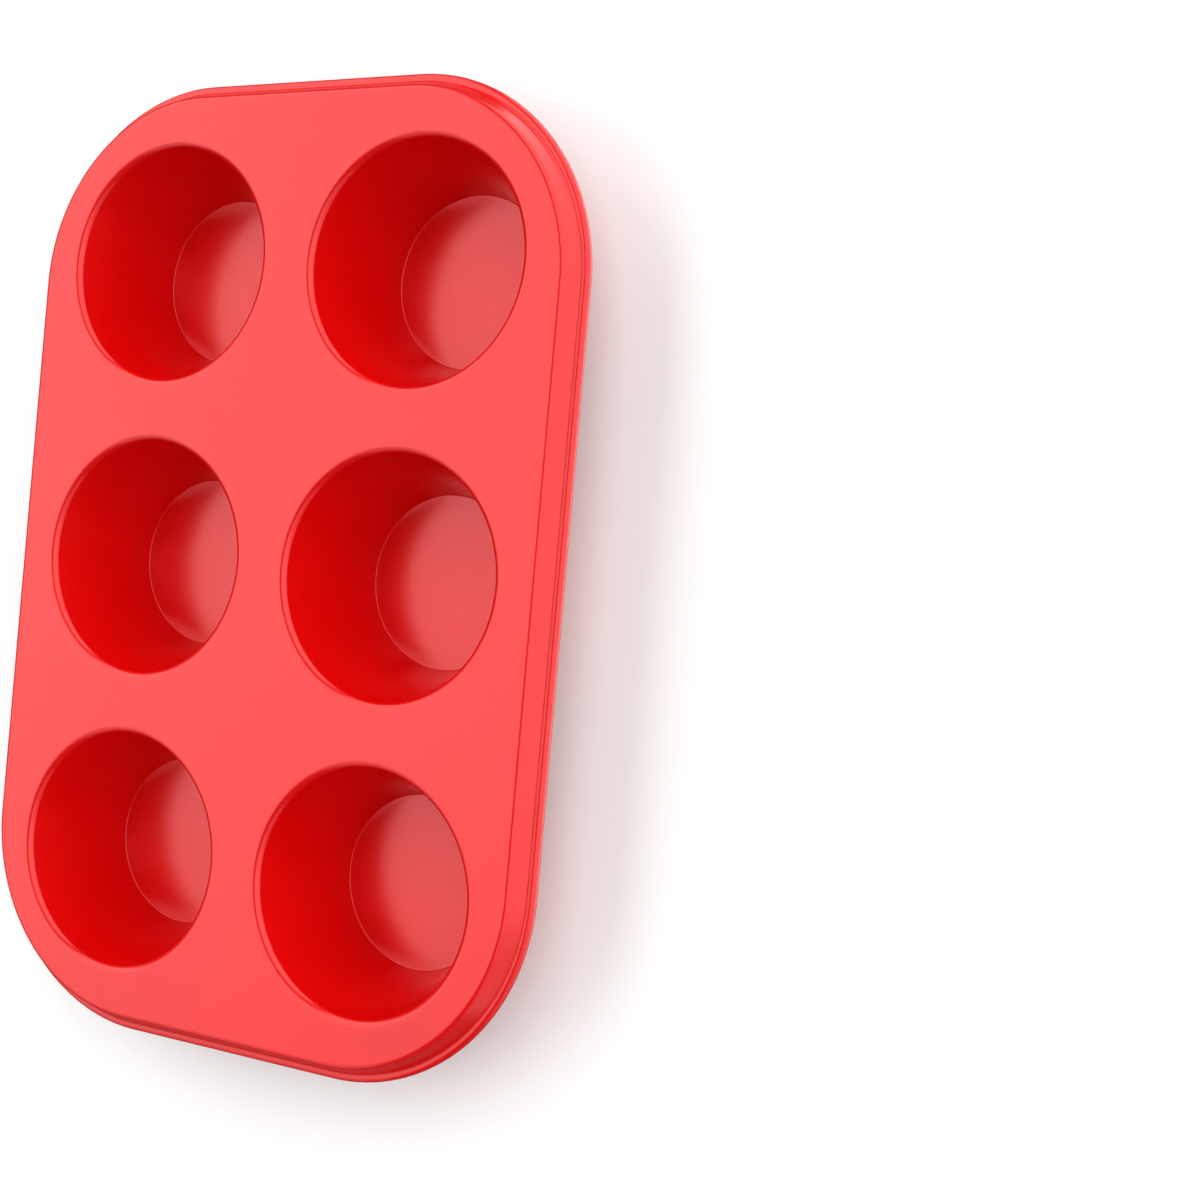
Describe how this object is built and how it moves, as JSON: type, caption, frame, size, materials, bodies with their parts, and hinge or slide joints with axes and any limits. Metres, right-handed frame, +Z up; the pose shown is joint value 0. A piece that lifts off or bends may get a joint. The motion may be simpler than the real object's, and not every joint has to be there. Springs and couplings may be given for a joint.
{
  "type": "muffin tin",
  "caption": "Flexible silicone muffin pan: a flat rounded deck with tapered round cups and a stepped, wire-stiffened rim.",
  "frame": {"origin": "on the plane that the undersides of the cups stand on, below the middle of the pan", "axes": "+Z up out of the cups' mouths, +Y along the long side, +X along the short side"},
  "size_m": [0.1846, 0.2714, 0.0326],
  "materials": {
    "silicone": "smooth satin silicone, bright red",
    "steel_wire": "bright drawn steel wire"
  },
  "bodies": {
    "root": {"silicone_body": "silicone", "rim_wire": "steel_wire"}
  },
  "joints": []
}
